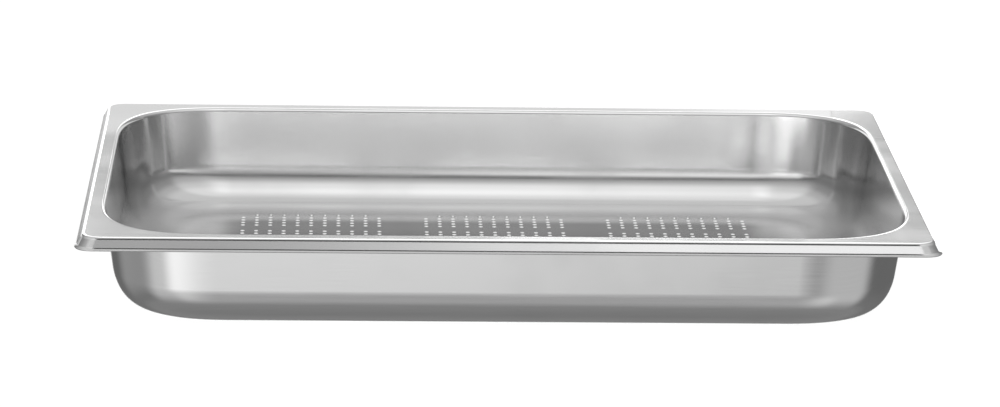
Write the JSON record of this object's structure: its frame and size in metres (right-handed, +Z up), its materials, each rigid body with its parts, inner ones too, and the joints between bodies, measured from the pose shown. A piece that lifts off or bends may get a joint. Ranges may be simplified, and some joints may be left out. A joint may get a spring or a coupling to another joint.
{
  "type": "perforated food pan",
  "caption": "Shallow rectangular stainless pan with rounded corners, sloping walls, a flat hanging flange with a turned-down skirt, and groups of drain holes in its floor.",
  "frame": {"origin": "centre of the floor's flat underside, where the pan stands", "axes": "+X along the long side, +Y along the short side, +Z up out of the opening"},
  "size_m": [0.53, 0.325, 0.065],
  "materials": {
    "pan": "satin"
  },
  "bodies": {
    "root": {"pan": "pan"}
  },
  "joints": []
}
